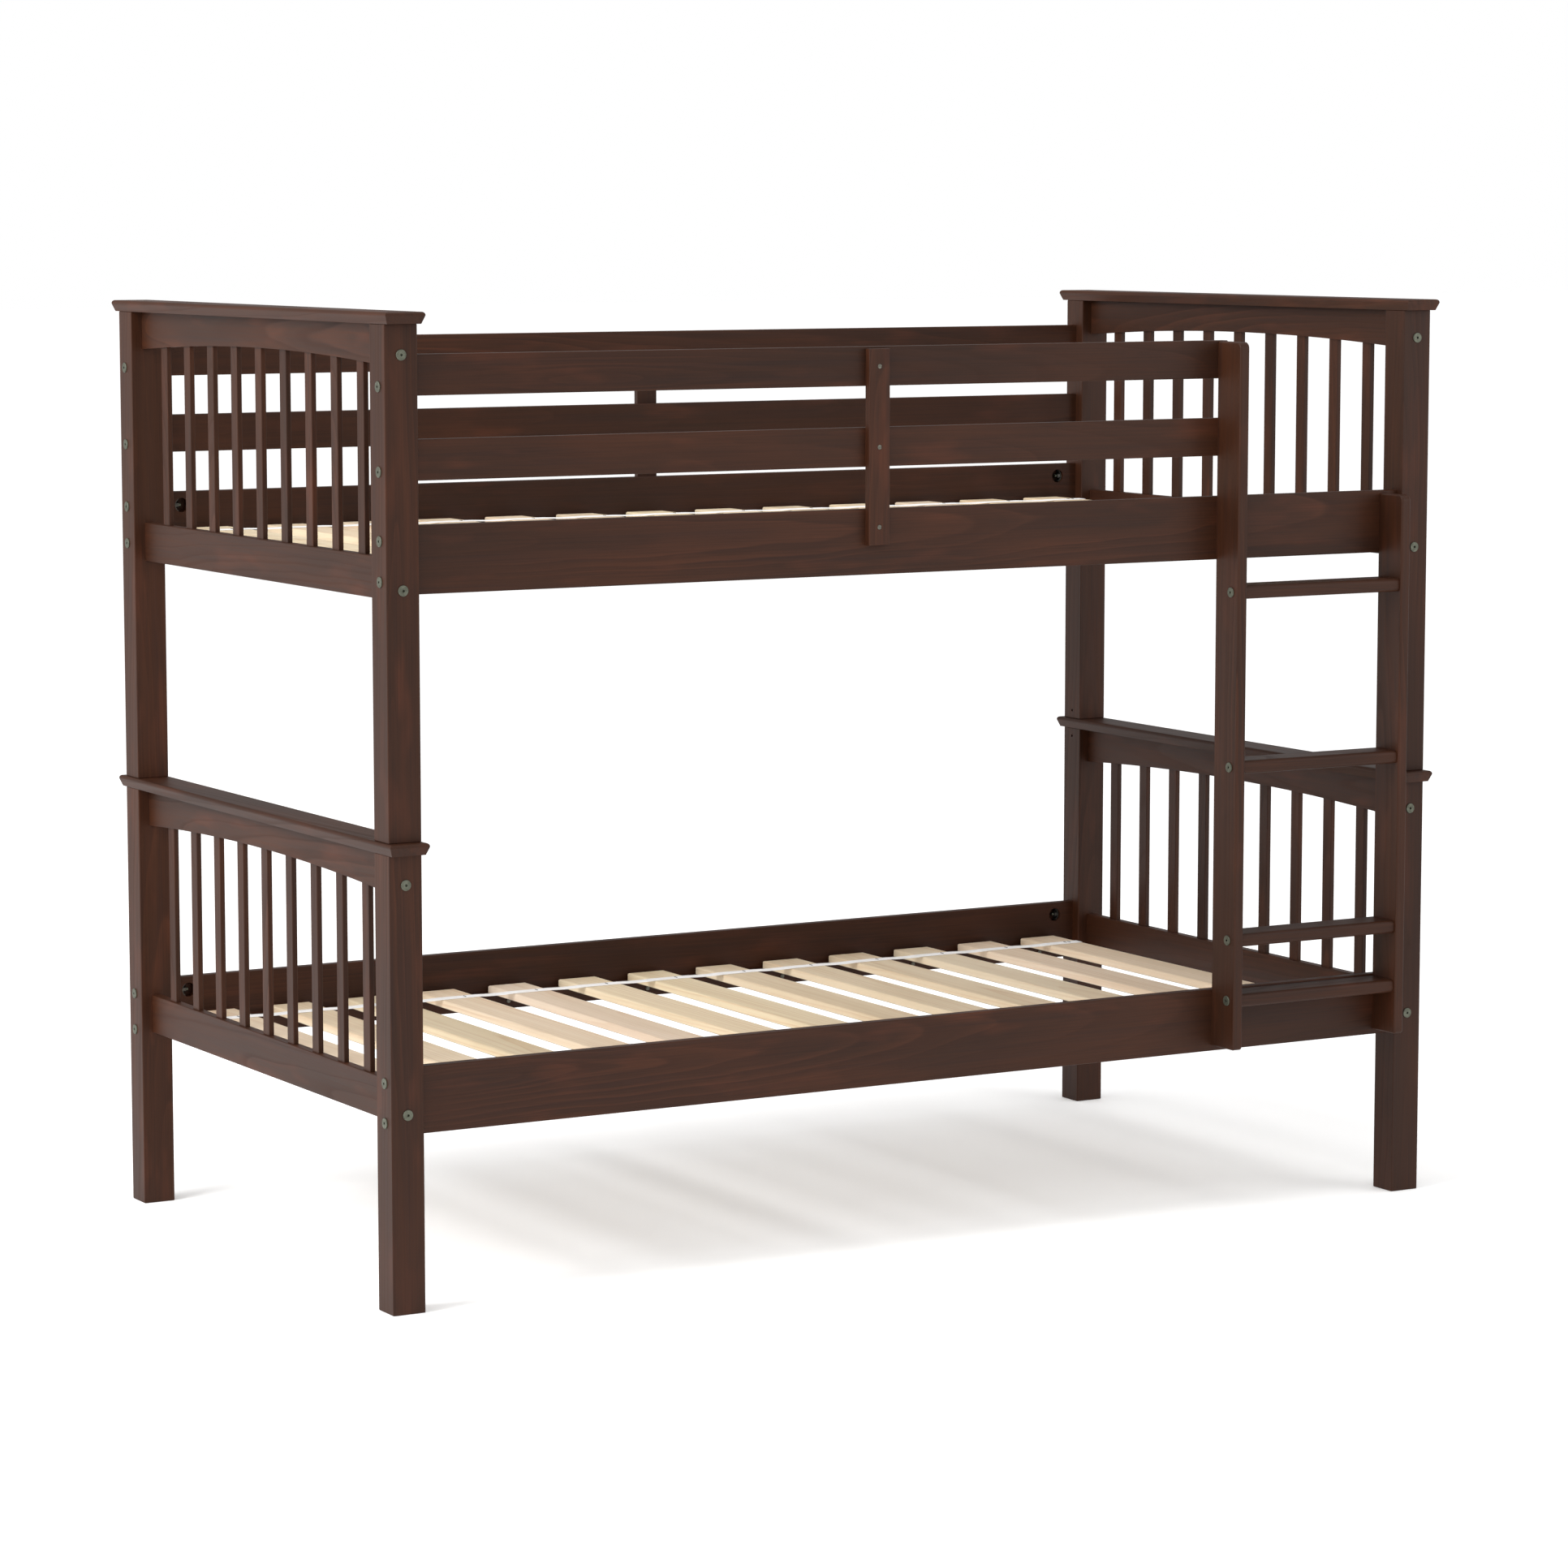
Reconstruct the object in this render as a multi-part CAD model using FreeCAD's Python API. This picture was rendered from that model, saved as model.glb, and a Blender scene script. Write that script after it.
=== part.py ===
import FreeCAD, Part
import math
import os

# Bunk bed with ladder: two stained pine beds stacked on each other, sized for 75 in by 39 in mattresses.
# Millimetres.  X runs along the bed, Y across it (the ladder is on the -Y side), Z up from the floor.
# The origin is the bottom centre of the bounding box.  The ladder stands out from the frame, so the
# frame itself is centred a little behind the origin, on y = FRAME_Y.

# ---- driving dimensions ------------------------------------------------------------------------
FRAME_LENGTH = 2030.0        # outer face to outer face of the posts, along X
FRAME_WIDTH = 1074.0         # outer face to outer face of the posts, along Y
POST_WIDE = 57.0             # section of every post, along X
POST_DEEP = 54.5             # and along Y
LOWER_POST_HEIGHT = 738.0
UPPER_POST_HEIGHT = 814.0
POST_ROUND = 1.5             # radius of the long edges
POST_EASE = 1.0              # chamfer at both ends

CAP_THICK = 19.0
CAP_OVER_X = 6.0             # how far a cap's nose stands past the posts, along X
CAP_OVER_Y = 18.0
CAP_BEVEL = 5.0              # how far the edge slopes in towards the underside
CAP_BEVEL_HEIGHT = 13.0
CAP_NOSE_ROUND = 5.0

RAIL_THICK = 19.0            # side rails and guard rails
RAIL_RECESS = 14.0           # from a post's outer face to a rail's outer face
RAIL_ROUND = 2.0
SIDE_RAIL_HEIGHT = 109.0
LOWER_SIDE_RAIL_Z = 287.0    # underside of the lower side rails
UPPER_SIDE_RAIL_Z = 1147.0
GUARD_HEIGHT = 65.0
GUARD_Z = (1325.5, 1458.5)   # undersides of the lower and the upper guard rail

END_RAIL_THICK = 17.0        # centred in the posts' section
END_TOP_HEIGHT = 50.0        # at the middle, where the arched edge is highest
END_ARCH_RISE = 15.0
END_RAIL_EASE = 1.5
END_BOTTOM_HEIGHT = 67.0
LOWER_END_BOTTOM_Z = 305.0
UPPER_END_BOTTOM_Z = 1138.0

SPINDLE_COUNT = 9
SPINDLE_PITCH = 99.0
SPINDLE_WIDE = 25.0          # along Y
SPINDLE_THICK = 9.0          # along X
SPINDLE_EASE = 0.8
SPINDLE_TENON = 12.0         # depth of its ends in the rails
MORTISE_PLAY = 0.15

LEDGER_WIDE = 25.0           # strip that carries the slats
LEDGER_HIGH = 29.0
LEDGER_LENGTH = 1796.0
LEDGER_ROUND = 2.0
SLAT_COUNT = 13
SLAT_PITCH = 145.0
SLAT_WIDE = 76.0
SLAT_THICK = 14.0
SLAT_LENGTH = 990.0
SLAT_ROUND = 3.0
SLAT_TOP_BELOW_RAIL = 63.0
STRAP_WIDE = 25.0
STRAP_THICK = 1.5
STRAP_FROM_SLAT_END = 95.0   # centre line of a strap
STRAP_ROUND = 0.6
STAPLE_CROWN = 10.0
STAPLE_WIRE_WIDE = 1.2
STAPLE_WIRE_THICK = 0.7
STAPLE_LEG = 12.0
STAPLE_OFFSET = 12.0         # from a slat's centre line towards +X
STAPLE_PAIR_GAP = 9.0        # the first and the last slat have a second staple

LADDER_CLEAR = 329.0         # between the stiles
LADDER_POST_GAP = 19.0       # between the right stile and the front right post
STILE_THICK = 19.0
STILE_DEPTH = 66.0
STILE_BOTTOM_Z = 296.5
LEFT_STILE_TOP_Z = 1522.0
RIGHT_STILE_TOP_Z = 1251.0
STILE_TOP_ROUND = 11.0
STILE_BOTTOM_ROUND = 6.0
STILE_EDGE_ROUND = 3.0
RUNG_THICK = 23.0
RUNG_DEPTH = 61.0
RUNG_FRONT_ROUND = 7.0
RUNG_BACK_ROUND = 3.0
RUNG_Z = (382.0, 488.0, 790.0, 1093.0)      # centre heights

BATTEN_WIDE = 40.0
BATTEN_THICK = 13.0
BATTEN_Z = (1196.0, 1520.0)
BATTEN_ROUND = 2.0
FRONT_BATTEN_X = -115.0
BACK_BATTEN_X = 21.7

# ---- fasteners ---------------------------------------------------------------------------------
BOLT_SHANK = 6.0
BOLT_LENGTH = 100.0
RUNG_BOLT_LENGTH = 60.0
BOLT_HEAD = 17.5
BOLT_HEAD_THICK = 2.0
BOLT_HEAD_ROUND = 0.9
BOLT_SOCKET = 4.0            # across flats
BOLT_SOCKET_DEPTH = 3.0
BOLT_PLAY = 0.3              # radial, in every bolt hole
SIDE_BOLT_UP = (21.0, 85.0)  # above a side rail's underside
GUARD_BOLT_UP = 15.0
END_BOLT_UP = 17.0
END_TOP_BOLT_DOWN = 48.0     # below the top of the posts

NUT_BORE = 25.0              # round pocket for a half-moon nut, in a side rail's inner face
NUT_BORE_DEPTH = 15.0
NUT_BORE_IN = 41.5           # from the post's face to the middle of the pocket
NUT_RADIUS = 12.3
NUT_HEIGHT = 11.0
NUT_THICK = 3.0              # of the crescent, at its middle
NUT_WIDE = 21.0              # of the crescent, tip to tip
NUT_BOSS = 10.0              # hexagonal boss inside the crescent, across flats
NUT_BOSS_LENGTH = 6.0
BARREL = 10.0
BARREL_HEIGHT = 14.0
BARREL_PLAY = 0.15
BARREL_IN = 26.0             # from the post's face to the barrel nut

DOWEL = 8.0
DOWEL_LENGTH = 40.0
DOWEL_PLAY = 0.1
DOWEL_ABOVE_GUARD_BOLT = 35.0
DOWEL_ABOVE_END_BOLT = 32.0
DOWEL_ABOVE_TOP_BOLT = 28.0
CAP_DOWEL_IN_CAP = 14.0
CAP_DOWEL_Y = (-220.0, 0.0, 220.0)
RUNG_DOWEL_IN_STILE = 12.0
RUNG_DOWEL_FROM_BACK = 16.0
RUNG_BOLT_FROM_BACK = 45.0

PIN = 12.0                   # steel pin between a lower and an upper post
PIN_IN_LOWER = 30.0
PIN_IN_UPPER = 20.0
PIN_PLAY_FIXED = 0.1
PIN_PLAY_LOOSE = 0.4
PIN_CHAMFER = 1.5
PILOT = 5.5                  # hole for a joining plate, in each post's inner side
PILOT_DEPTH = 12.0
PILOT_FROM_JOINT = 15.5

SCREW_SHANK = 4.0
SCREW_PLAY = 0.1
SCREW_HEAD = 8.0
SCREW_HEAD_THICK = 2.2
SCREW_SLOT = 1.2
SCREW_TIP = 0.6              # diameter of the blunted point
BATTEN_SCREW_LENGTH = 28.0
LADDER_SCREW_LENGTH = 50.0
LEDGER_SCREW_LENGTH = 40.0
LEDGER_SCREW_PITCH = 290.0
LEDGER_SCREW_SHIFT = -5.0    # from the middle of the rail, along X
LADDER_SCREW_UP = (40.0, 66.0)   # above the upper side rail's underside

# ---- places worked out from the dimensions --------------------------------------------------------
LADDER_REACH = FRAME_WIDTH / 2 - RAIL_RECESS + STILE_DEPTH
CAP_REACH = FRAME_WIDTH / 2 + CAP_OVER_Y
FRAME_Y = (LADDER_REACH - CAP_REACH) / 2

POST_OUT_X = FRAME_LENGTH / 2
POST_IN_X = POST_OUT_X - POST_WIDE
POST_MID_X = POST_OUT_X - POST_WIDE / 2
POST_OUT_Y = FRAME_WIDTH / 2
POST_IN_Y = POST_OUT_Y - POST_DEEP
POST_MID_Y = POST_OUT_Y - POST_DEEP / 2
RAIL_OUT_Y = POST_OUT_Y - RAIL_RECESS
RAIL_IN_Y = RAIL_OUT_Y - RAIL_THICK
RAIL_MID_Y = RAIL_OUT_Y - RAIL_THICK / 2
UPPER_BASE_Z = LOWER_POST_HEIGHT + CAP_THICK
UPPER_POST_TOP_Z = UPPER_BASE_Z + UPPER_POST_HEIGHT

RIGHT_STILE_X = POST_IN_X - LADDER_POST_GAP - STILE_THICK
LEFT_STILE_X = RIGHT_STILE_X - LADDER_CLEAR - STILE_THICK
LEDGER_IN_Y = RAIL_IN_Y - LEDGER_WIDE
STRAP_Y = SLAT_LENGTH / 2 - STRAP_FROM_SLAT_END

SIDES = (("left", -1), ("right", 1))
FACES = (("front", -1), ("back", 1))
X_DIR = FreeCAD.Vector(1, 0, 0)
Y_DIR = FreeCAD.Vector(0, 1, 0)
Z_DIR = FreeCAD.Vector(0, 0, 1)


class Bunk:
    """Heights of one of the two beds."""

    def __init__(self, name, post_bottom, post_top, side_rail, end_bottom):
        self.name = name
        self.post_bottom = post_bottom
        self.post_top = post_top
        self.side_rail = side_rail
        self.end_bottom = end_bottom
        self.end_top = post_top - END_TOP_HEIGHT
        self.slat_top = side_rail + SIDE_RAIL_HEIGHT - SLAT_TOP_BELOW_RAIL
        self.ledger_top = self.slat_top - SLAT_THICK
        self.side_bolts = [side_rail + up for up in SIDE_BOLT_UP]
        self.end_bolts = [end_bottom + END_BOLT_UP, post_top - END_TOP_BOLT_DOWN]


LOWER = Bunk("lower", 0.0, LOWER_POST_HEIGHT, LOWER_SIDE_RAIL_Z, LOWER_END_BOTTOM_Z)
UPPER = Bunk("upper", UPPER_BASE_Z, UPPER_POST_TOP_Z, UPPER_SIDE_RAIL_Z, UPPER_END_BOTTOM_Z)
GUARD_BOLTS = [z + GUARD_BOLT_UP for z in GUARD_Z]


# ---- plain shapes ----------------------------------------------------------------------------------
def at(x, y, z):
    """A point given from the middle of the frame."""
    return FreeCAD.Vector(x, y + FRAME_Y, z)


def block(x0, x1, y0, y1, z0, z1):
    """A box between two corners, given from the middle of the frame."""
    low = at(min(x0, x1), min(y0, y1), min(z0, z1))
    return Part.makeBox(abs(x1 - x0), abs(y1 - y0), abs(z1 - z0), low)


def rod(diameter, length, start, direction):
    return Part.makeCylinder(diameter / 2, length, start, direction)


def edges_along(shape, axis):
    """The straight edges that run along an axis."""
    found = []
    for edge in shape.Edges:
        if edge.Curve.TypeId != "Part::GeomLine":
            continue
        run = edge.Vertexes[-1].Point.sub(edge.Vertexes[0].Point)
        if run.cross(axis).Length < 1e-6 * run.Length:
            found.append(edge)
    return found


def rounded(shape, axis, radius):
    """The shape with its straight edges along an axis rounded over."""
    return shape.makeFillet(radius, edges_along(shape, axis))


def hexagon(across_flats):
    """The corners of a hexagon about the origin, as pairs, with the first one repeated at the end."""
    radius = across_flats / math.sqrt(3)
    angles = [math.radians(60 * step) for step in range(7)]
    return [(radius * math.cos(angle), radius * math.sin(angle)) for angle in angles]


def cut_all(shape, tools):
    if not tools:
        return shape
    return shape.cut(tools)


def placed(shape, point, direction):
    """A copy of a shape built along +Z from the origin, moved to a point and turned to a direction."""
    copy = shape.copy()
    copy.Placement = FreeCAD.Placement(point, FreeCAD.Rotation(Z_DIR, direction))
    return copy


def write(node, shapes):
    """Writes one node; a list of shapes is kept as separate solids."""
    shape = Part.Compound(shapes) if isinstance(shapes, list) else shapes
    shape.exportStep("parts/" + node + ".step")


# ---- fasteners and the holes for them --------------------------------------------------------------
def bolt(length):
    """Flat-headed bolt: the head is below z = 0, the shank runs up from there."""
    head = rod(BOLT_HEAD, BOLT_HEAD_THICK, FreeCAD.Vector(0, 0, -BOLT_HEAD_THICK), Z_DIR)
    rim = [edge for edge in head.Edges if edge.CenterOfMass.z < -BOLT_HEAD_THICK + 0.01]
    head = head.makeFillet(BOLT_HEAD_ROUND, rim)
    body = head.fuse(rod(BOLT_SHANK, length, FreeCAD.Vector(0, 0, 0), Z_DIR)).removeSplitter()
    corners = [FreeCAD.Vector(u, v, -BOLT_HEAD_THICK) for u, v in hexagon(BOLT_SOCKET)]
    socket = Part.Face(Part.makePolygon(corners)).extrude(FreeCAD.Vector(0, 0, BOLT_SOCKET_DEPTH))
    return body.cut(socket)


def bolt_hole(length, point, direction):
    return rod(BOLT_SHANK + 2 * BOLT_PLAY, length, point, direction)


def screw(length):
    """Round-headed wood screw, head below z = 0, with a slot across the head."""
    head = rod(SCREW_HEAD, SCREW_HEAD_THICK, FreeCAD.Vector(0, 0, -SCREW_HEAD_THICK), Z_DIR)
    rim = [edge for edge in head.Edges if edge.CenterOfMass.z < -SCREW_HEAD_THICK + 0.01]
    head = head.makeFillet(SCREW_HEAD_THICK / 3, rim)
    shank = rod(SCREW_SHANK, length - SCREW_SHANK, FreeCAD.Vector(0, 0, 0), Z_DIR)
    tip_start = FreeCAD.Vector(0, 0, length - SCREW_SHANK)
    tip = Part.makeCone(SCREW_SHANK / 2, SCREW_TIP / 2, SCREW_SHANK, tip_start, Z_DIR)
    slot_low = FreeCAD.Vector(-SCREW_HEAD / 2, -SCREW_SLOT / 2, -SCREW_HEAD_THICK)
    slot = Part.makeBox(SCREW_HEAD, SCREW_SLOT, SCREW_HEAD_THICK / 2, slot_low)
    return head.fuse([shank, tip]).removeSplitter().cut(slot)


def screw_hole(length, point, direction):
    return rod(SCREW_SHANK + 2 * SCREW_PLAY, length, point, direction)


def half_moon_nut():
    """Crescent with a hexagonal boss: axis along +Z, outer side towards +X, the bolt's hole along X."""
    middle = NUT_HEIGHT / 2
    inner_x = NUT_RADIUS - NUT_THICK
    disc = rod(2 * NUT_RADIUS, NUT_HEIGHT, FreeCAD.Vector(0, 0, 0), Z_DIR)
    hollow = rod(2 * NUT_RADIUS, NUT_HEIGHT, FreeCAD.Vector(-NUT_THICK, 0, 0), Z_DIR)
    half = Part.makeBox(NUT_RADIUS, NUT_WIDE, NUT_HEIGHT, FreeCAD.Vector(0, -NUT_WIDE / 2, 0))
    crescent = disc.cut(hollow).common(half)
    corners = [FreeCAD.Vector(inner_x - NUT_BOSS_LENGTH, u, middle + v) for u, v in hexagon(NUT_BOSS)]
    boss = Part.Face(Part.makePolygon(corners)).extrude(X_DIR * NUT_BOSS_LENGTH)
    through = rod(BOLT_SHANK + 2 * BARREL_PLAY, NUT_RADIUS, FreeCAD.Vector(0, 0, middle), X_DIR)
    return crescent.fuse(boss).removeSplitter().cut(through)


def barrel_nut(bolt_direction):
    """Cross dowel, axis along Z and centred on z = 0, with the bolt's hole through it."""
    body = rod(BARREL, BARREL_HEIGHT, FreeCAD.Vector(0, 0, -BARREL_HEIGHT / 2), Z_DIR)
    start = FreeCAD.Vector(0, 0, 0).sub(bolt_direction * BARREL)
    return body.cut(rod(BOLT_SHANK + 2 * BARREL_PLAY, 2 * BARREL, start, bolt_direction))


def barrel_bore(point):
    """Bore for a barrel nut, drilled up from a rail's underside to just over the bolt."""
    bottom = FreeCAD.Vector(point.x, point.y, point.z - 2 * BARREL_HEIGHT)
    return rod(BARREL + 2 * BARREL_PLAY, 2.5 * BARREL_HEIGHT, bottom, Z_DIR)


def dowel(point, direction):
    """Wooden dowel, starting at a point."""
    return rod(DOWEL, DOWEL_LENGTH, point, direction)


def dowel_hole(point, direction):
    return rod(DOWEL + 2 * DOWEL_PLAY, DOWEL_LENGTH, point, direction)


# ---- where the joints are --------------------------------------------------------------------------
def rail_bolt_points(bunk):
    """Start and direction of each bolt that holds a side rail or a guard rail, in one bunk."""
    points = []
    for _, side in SIDES:
        for _, face in FACES:
            heights = list(bunk.side_bolts)
            if bunk is UPPER and not (side > 0 and face < 0):
                heights += GUARD_BOLTS
            for z in heights:
                points.append((at(side * POST_OUT_X, face * RAIL_MID_Y, z), X_DIR * -side))
    return points


def end_bolt_points(bunk):
    points = []
    for _, side in SIDES:
        for _, face in FACES:
            for z in bunk.end_bolts:
                points.append((at(side * POST_MID_X, face * POST_OUT_Y, z), Y_DIR * -face))
    return points


def frame_dowel_points(bunk):
    """Start and direction of the dowels between rails, posts and caps."""
    half = DOWEL_LENGTH / 2
    points = []
    bottom_dowel = bunk.end_bolts[0] + DOWEL_ABOVE_END_BOLT
    top_dowel = bunk.end_bolts[1] + DOWEL_ABOVE_TOP_BOLT
    for _, side in SIDES:
        for _, face in FACES:
            for z in (bottom_dowel, top_dowel):
                points.append((at(side * POST_MID_X, face * (POST_IN_Y - half), z), Y_DIR * face))
            if bunk is UPPER and not (side > 0 and face < 0):
                for z in GUARD_BOLTS:
                    height = z + DOWEL_ABOVE_GUARD_BOLT
                    points.append((at(side * (POST_IN_X - half), face * RAIL_MID_Y, height), X_DIR * side))
        for y in CAP_DOWEL_Y:
            start = bunk.post_top + CAP_DOWEL_IN_CAP - DOWEL_LENGTH
            points.append((at(side * POST_MID_X, y, start), Z_DIR))
    return points


def rung_dowel_points():
    points = []
    y = -RAIL_OUT_Y - RUNG_DOWEL_FROM_BACK
    for z in RUNG_Z:
        points.append((at(LEFT_STILE_X + STILE_THICK - RUNG_DOWEL_IN_STILE, y, z), X_DIR))
        points.append((at(RIGHT_STILE_X + RUNG_DOWEL_IN_STILE, y, z), X_DIR * -1))
    return points


def rung_bolt_points():
    points = []
    y = -RAIL_OUT_Y - RUNG_BOLT_FROM_BACK
    for z in RUNG_Z:
        points.append((at(LEFT_STILE_X, y, z), X_DIR))
        points.append((at(RIGHT_STILE_X + STILE_THICK, y, z), X_DIR * -1))
    return points


def batten_screw_points():
    """On the outer face of each batten: one screw into each guard rail and one into the side rail."""
    heights = [z + GUARD_HEIGHT / 2 for z in GUARD_Z]
    heights.append((BATTEN_Z[0] + UPPER_SIDE_RAIL_Z + SIDE_RAIL_HEIGHT) / 2)
    points = []
    for x, face in ((FRONT_BATTEN_X, -1), (BACK_BATTEN_X, 1)):
        y = face * (RAIL_OUT_Y + BATTEN_THICK - SCREW_HEAD_THICK)
        for z in heights:
            points.append((at(x, y, z), Y_DIR * -face))
    return points


def ladder_screw_points():
    """On the inner faces of the rails, screwed outwards into the back edges of the stiles."""
    side_rail_heights = [UPPER_SIDE_RAIL_Z + up for up in LADDER_SCREW_UP]
    guard_heights = [z + GUARD_HEIGHT / 2 for z in GUARD_Z]
    points = []
    for z in side_rail_heights + guard_heights:
        points.append((at(LEFT_STILE_X + STILE_THICK / 2, -RAIL_IN_Y, z), Y_DIR * -1))
    for z in side_rail_heights:
        points.append((at(RIGHT_STILE_X + STILE_THICK / 2, -RAIL_IN_Y, z), Y_DIR * -1))
    return points


def ledger_screw_points(bunk):
    points = []
    z = bunk.ledger_top - LEDGER_HIGH / 2
    for _, face in FACES:
        for step in range(-3, 4):
            x = step * LEDGER_SCREW_PITCH + LEDGER_SCREW_SHIFT
            points.append((at(x, face * LEDGER_IN_Y, z), Y_DIR * face))
    return points


def strap_staple_spots():
    """Centre of every staple, from the middle of the frame."""
    spots = []
    reach = (SLAT_COUNT - 1) // 2
    for face in (-1, 1):
        for step in range(-reach, reach + 1):
            x = step * SLAT_PITCH + STAPLE_OFFSET
            spots.append((x, face * STRAP_Y))
            if abs(step) == reach:
                spots.append((x - STAPLE_PAIR_GAP, face * STRAP_Y))
    return spots


# ---- frame pieces ------------------------------------------------------------------------------------
def frame_holes(bunk):
    """Every hole that bolts and dowels need in the posts, rails and caps of one bunk."""
    holes = [bolt_hole(BOLT_LENGTH, *place) for place in rail_bolt_points(bunk) + end_bolt_points(bunk)]
    holes += [dowel_hole(*place) for place in frame_dowel_points(bunk)]
    return holes


def touching(tools, shape):
    """Only the tools that reach into a shape's bounding box."""
    return [tool for tool in tools if tool.BoundBox.intersect(shape.BoundBox)]


def post(bunk, side, face, holes):
    x0 = side * POST_IN_X
    y0 = face * POST_IN_Y
    body = block(x0, side * POST_OUT_X, y0, face * POST_OUT_Y, bunk.post_bottom, bunk.post_top)
    body = rounded(body, Z_DIR, POST_ROUND)
    ends = [edge for edge in body.Edges if edge.BoundBox.ZLength < 1e-6]
    body = body.makeChamfer(POST_EASE, ends)
    pilot_z = UPPER_BASE_Z + PILOT_FROM_JOINT
    if bunk is LOWER:
        pilot_z = LOWER_POST_HEIGHT - PILOT_FROM_JOINT
    tools = touching(holes, body)
    tools.append(rod(PILOT, PILOT_DEPTH, at(x0, face * POST_MID_Y, pilot_z), X_DIR * side))
    tools.append(pin_hole(bunk, side, face))
    return cut_all(body, tools)


def pin_hole(bunk, side, face):
    """The locating pin fits tightly in the lower post and loosely in the upper one."""
    if bunk is UPPER:
        start = at(side * POST_MID_X, face * POST_MID_Y, UPPER_BASE_Z)
        return rod(PIN + 2 * PIN_PLAY_LOOSE, PIN_IN_UPPER + 2, start, Z_DIR)
    start = at(side * POST_MID_X, face * POST_MID_Y, LOWER_POST_HEIGHT - PIN_IN_LOWER)
    return rod(PIN + 2 * PIN_PLAY_FIXED, PIN_IN_LOWER + CAP_THICK, start, Z_DIR)


def locating_pin(side, face):
    start = at(side * POST_MID_X, face * POST_MID_Y, LOWER_POST_HEIGHT - PIN_IN_LOWER)
    body = rod(PIN, PIN_IN_LOWER + CAP_THICK + PIN_IN_UPPER, start, Z_DIR)
    top = [edge for edge in body.Edges if edge.BoundBox.ZMin > UPPER_BASE_Z]
    return body.makeChamfer(PIN_CHAMFER, top)


def rectangle(x0, x1, y0, y1, z):
    return Part.makePolygon([at(x0, y0, z), at(x1, y0, z), at(x1, y1, z), at(x0, y1, z), at(x0, y0, z)])


def cap(bunk, side, holes):
    """Moulded board over two posts: a sloping edge below, a rounded nose above."""
    x0 = side * POST_MID_X - POST_WIDE / 2 - CAP_OVER_X
    x1 = side * POST_MID_X + POST_WIDE / 2 + CAP_OVER_X
    bottom = bunk.post_top
    middle = bottom + CAP_BEVEL_HEIGHT
    low = rectangle(x0 + CAP_BEVEL, x1 - CAP_BEVEL, -CAP_REACH + CAP_BEVEL, CAP_REACH - CAP_BEVEL, bottom)
    high = rectangle(x0, x1, -CAP_REACH, CAP_REACH, middle)
    slope = Part.makeLoft([low, high], True, True)
    nose = block(x0, x1, -CAP_REACH, CAP_REACH, middle, bottom + CAP_THICK)
    body = slope.fuse(nose).removeSplitter()
    top = [edge for edge in body.Edges if edge.BoundBox.ZMin > bottom + CAP_THICK - 1e-3]
    body = body.makeFillet(CAP_NOSE_ROUND, top)
    tools = touching(holes, body)
    if bunk is LOWER:
        tools += [pin_hole(LOWER, side, face) for _, face in FACES]
    return cut_all(body, tools)


def side_rail(bunk, face, holes):
    bottom = bunk.side_rail
    top = bottom + SIDE_RAIL_HEIGHT
    body = block(-POST_IN_X, POST_IN_X, face * RAIL_IN_Y, face * RAIL_OUT_Y, bottom, top)
    body = rounded(body, X_DIR, RAIL_ROUND)
    pockets = []
    for _, side in SIDES:
        for z in bunk.side_bolts:
            middle = at(side * (POST_IN_X - NUT_BORE_IN), face * RAIL_IN_Y, z)
            pockets.append(rod(NUT_BORE, NUT_BORE_DEPTH, middle, Y_DIR * face))
    return cut_all(body, touching(holes, body) + pockets)


def guard_rail(face, z, holes):
    right_end = POST_IN_X
    bored_sides = (-1, 1)
    if face < 0:
        right_end = LEFT_STILE_X + STILE_THICK
        bored_sides = (-1,)
    body = block(-POST_IN_X, right_end, face * RAIL_IN_Y, face * RAIL_OUT_Y, z, z + GUARD_HEIGHT)
    body = rounded(body, X_DIR, RAIL_ROUND)
    bores = []
    for side in bored_sides:
        bores.append(barrel_bore(at(side * (POST_IN_X - BARREL_IN), face * RAIL_MID_Y, z + GUARD_BOLT_UP)))
    return cut_all(body, touching(holes, body) + bores)


def arch_height(bunk, y):
    """Height of the top rail's arched lower edge."""
    radius = (POST_IN_Y ** 2 + END_ARCH_RISE ** 2) / (2 * END_ARCH_RISE)
    return bunk.end_top - radius + math.sqrt(radius ** 2 - y ** 2)


def end_rail_x(side):
    return side * POST_MID_X - END_RAIL_THICK / 2


def mortises(side, z0, z1):
    """Pockets for the spindles, between two heights that are given for each place along Y."""
    half_thick = SPINDLE_THICK / 2 + MORTISE_PLAY
    half_wide = SPINDLE_WIDE / 2 + MORTISE_PLAY
    x0 = side * POST_MID_X - half_thick
    x1 = side * POST_MID_X + half_thick
    return [block(x0, x1, y - half_wide, y + half_wide, z0(y), z1(y)) for y in spindle_places()]


def spindle_places():
    reach = (SPINDLE_COUNT - 1) // 2
    return [step * SPINDLE_PITCH for step in range(-reach, reach + 1)]


def end_bores(bunk, side, z):
    bores = []
    for _, face in FACES:
        bores.append(barrel_bore(at(side * POST_MID_X, face * (POST_IN_Y - BARREL_IN), z)))
    return bores


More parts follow.
